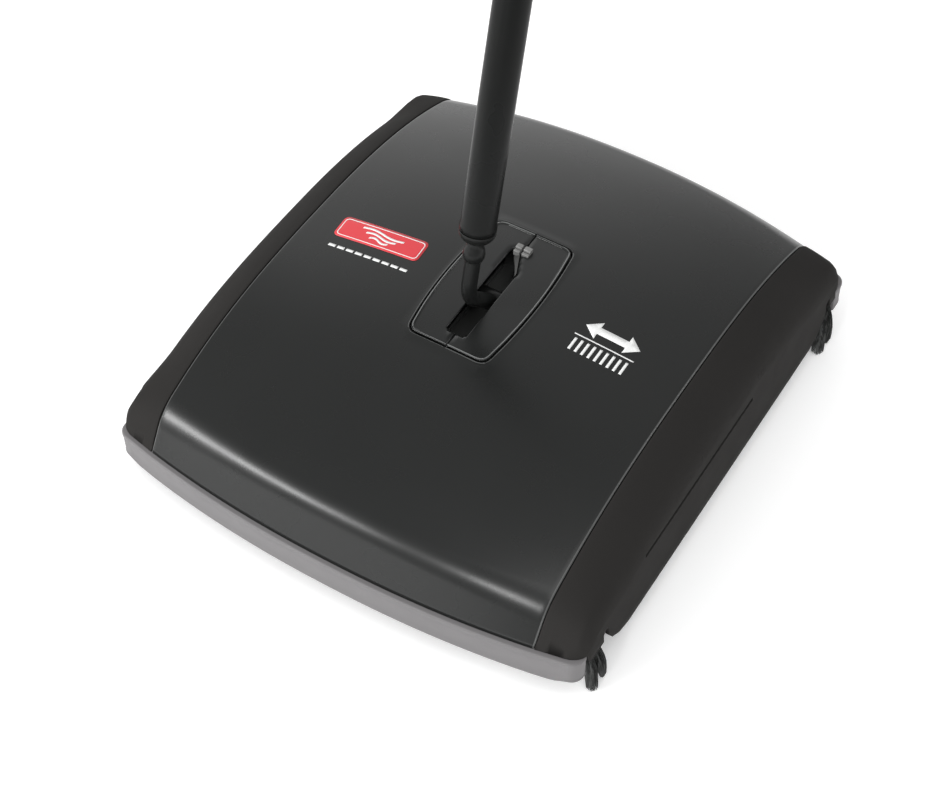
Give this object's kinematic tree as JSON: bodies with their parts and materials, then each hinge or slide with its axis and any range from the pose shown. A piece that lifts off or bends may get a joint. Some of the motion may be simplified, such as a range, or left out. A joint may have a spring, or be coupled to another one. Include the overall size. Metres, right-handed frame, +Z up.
{
  "type": "carpet sweeper",
  "caption": "Push carpet sweeper: low black hood with grey bumpers, friction-driven brush roller, drop-down dust pans and a hinged stick handle.",
  "frame": {"origin": "on the floor, in the middle of the box round the whole sweeper with its handle leaning back", "axes": "+Z up; +X across the sweeper to its right side; +Y along its travel, towards the side the handle leans to"},
  "size_m": [0.241, 0.3876, 1.1182],
  "materials": {
    "painted_steel": "satin charcoal coating",
    "black_plastic": "fine matt",
    "grey_vinyl": "soft satin vinyl",
    "zinc_steel": "zinc plated",
    "black_steel": "semi-gloss black",
    "black_rubber": "matt",
    "tyre_rubber": "matt",
    "grey_plastic": "satin",
    "bristle": "stiff bristle",
    "grip_vinyl": "soft matt"
  },
  "bodies": {
    "base": {"top_panel": "painted_steel", "pivot_bridge": "black_steel", "pivot_pin": "black_steel", "slot_plate_left": "black_plastic", "side_cover_left": "black_plastic", "end_plate_left": "zinc_steel", "roller_bearing_left": "grey_plastic", "wheel_axle_front_left": "zinc_steel", "corner_holder_front_left": "black_plastic", "corner_tuft_front_left": "bristle", "wheel_axle_rear_left": "zinc_steel", "corner_holder_rear_left": "black_plastic", "corner_tuft_rear_left": "bristle", "slot_plate_right": "black_plastic", "side_cover_right": "black_plastic", "end_plate_right": "zinc_steel", "roller_bearing_right": "grey_plastic", "wheel_axle_front_right": "zinc_steel", "corner_holder_front_right": "black_plastic", "corner_tuft_front_right": "bristle", "wheel_axle_rear_right": "zinc_steel", "corner_holder_rear_right": "black_plastic", "corner_tuft_rear_right": "bristle", "bumper_front": "grey_vinyl", "cross_bar_front": "zinc_steel", "pan_hinge_rod_front": "zinc_steel", "bumper_rear": "grey_vinyl", "cross_bar_rear": "zinc_steel", "pan_hinge_rod_rear": "zinc_steel"},
    "handle": {"yoke_rod": "black_steel", "knuckle": "black_steel", "handle_ferrule": "black_plastic", "handle_tube_lower": "black_steel", "handle_tube_middle": "black_steel", "handle_tube_upper": "black_steel", "tube_joiner_lower": "black_plastic", "tube_joiner_upper": "black_plastic", "grip": "grip_vinyl", "hang_eye": "black_plastic"},
    "brush": {"roller_shaft": "zinc_steel", "roller_core": "grey_plastic", "drive_drum_left": "black_rubber", "drive_drum_right": "black_rubber", "bristle_row_1": "bristle", "bristle_row_2": "bristle", "bristle_row_3": "bristle", "bristle_row_4": "bristle"},
    "wheel_front_left": {"wheel_hub_front_left": "grey_plastic", "wheel_tyre_front_left": "tyre_rubber"},
    "wheel_front_right": {"wheel_hub_front_right": "grey_plastic", "wheel_tyre_front_right": "tyre_rubber"},
    "wheel_rear_left": {"wheel_hub_rear_left": "grey_plastic", "wheel_tyre_rear_left": "tyre_rubber"},
    "wheel_rear_right": {"wheel_hub_rear_right": "grey_plastic", "wheel_tyre_rear_right": "tyre_rubber"},
    "pan_front": {"dust_pan_front": "black_plastic"},
    "pan_rear": {"dust_pan_rear": "black_plastic"}
  },
  "joints": [
    {"name": "handle_tilt", "type": "hinge", "parent": "base", "child": "handle", "pos_m": [0, -0.05426, 0.062], "axis": [1, 0, 0], "range_deg": [-76, 20]},
    {"name": "brush_spin", "type": "hinge", "parent": "base", "child": "brush", "pos_m": [0, -0.05376, 0.0248], "axis": [1, 0, 0], "continuous": true},
    {"name": "wheel_front_left_spin", "type": "hinge", "parent": "base", "child": "wheel_front_left", "pos_m": [-0.106, -0.09417, 0.024], "axis": [1, 0, 0], "continuous": true},
    {"name": "wheel_front_right_spin", "type": "hinge", "parent": "base", "child": "wheel_front_right", "pos_m": [0.106, -0.09417, 0.024], "axis": [1, 0, 0], "continuous": true},
    {"name": "wheel_rear_left_spin", "type": "hinge", "parent": "base", "child": "wheel_rear_left", "pos_m": [-0.106, -0.01336, 0.024], "axis": [1, 0, 0], "continuous": true},
    {"name": "wheel_rear_right_spin", "type": "hinge", "parent": "base", "child": "wheel_rear_right", "pos_m": [0.106, -0.01336, 0.024], "axis": [1, 0, 0], "continuous": true},
    {"name": "pan_front_drop", "type": "hinge", "parent": "base", "child": "pan_front", "pos_m": [0, -0.16576, 0.021], "axis": [1, 0, 0], "range_deg": [-60, 0]},
    {"name": "pan_rear_drop", "type": "hinge", "parent": "base", "child": "pan_rear", "pos_m": [0, 0.05824, 0.021], "axis": [1, 0, 0], "range_deg": [0, 60]}
  ],
  "couplings": [
    {"joint": "wheel_front_left_spin", "follows": "brush_spin", "ratio": -0.66667},
    {"joint": "wheel_front_right_spin", "follows": "brush_spin", "ratio": -0.66667},
    {"joint": "wheel_rear_left_spin", "follows": "brush_spin", "ratio": -0.66667},
    {"joint": "wheel_rear_right_spin", "follows": "brush_spin", "ratio": -0.66667}
  ]
}
